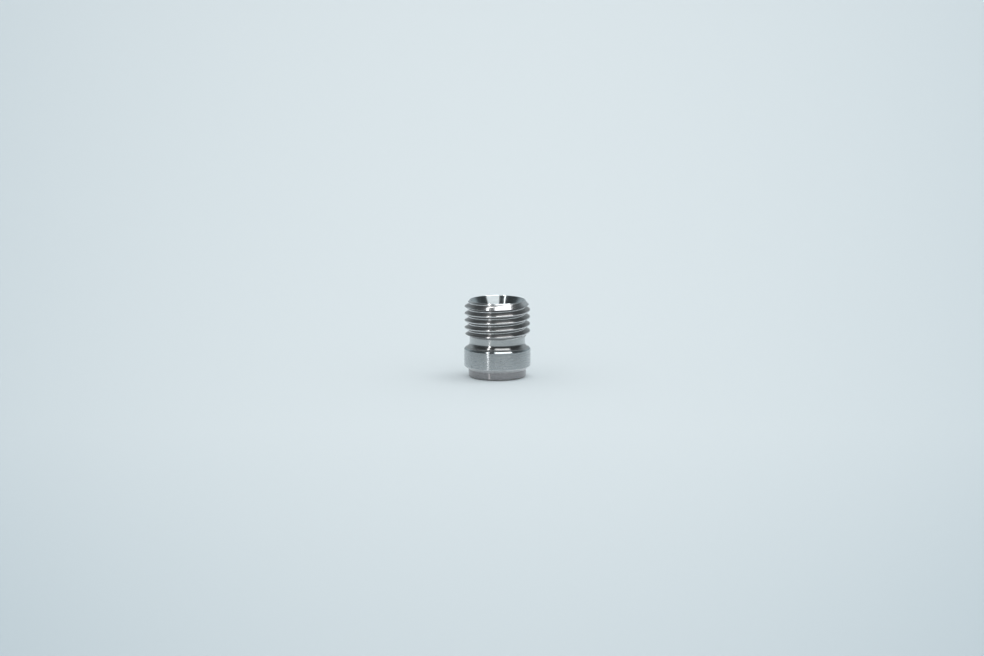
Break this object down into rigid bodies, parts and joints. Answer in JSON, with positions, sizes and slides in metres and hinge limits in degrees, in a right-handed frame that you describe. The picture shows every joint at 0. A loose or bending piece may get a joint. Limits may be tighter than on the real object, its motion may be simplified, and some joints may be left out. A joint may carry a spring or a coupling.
{
  "type": "sensor boss",
  "caption": "Weld-on sensor boss turned from round bar, with a plain spigot, a collar, a relief groove, an external metric thread and a conical sealing seat over a through bore.",
  "frame": {"origin": "centre of the bottom face, on the bore axis", "axes": "+Z along the bore axis, from the welding spigot towards the threaded end and its cone mouth; +X is the zero azimuth from which the thread's start is measured"},
  "size_m": [0.014, 0.014, 0.0163],
  "materials": {
    "turned_stainless": "fine turned, satin"
  },
  "bodies": {
    "root": {"sensor_boss": "turned_stainless"}
  },
  "joints": []
}
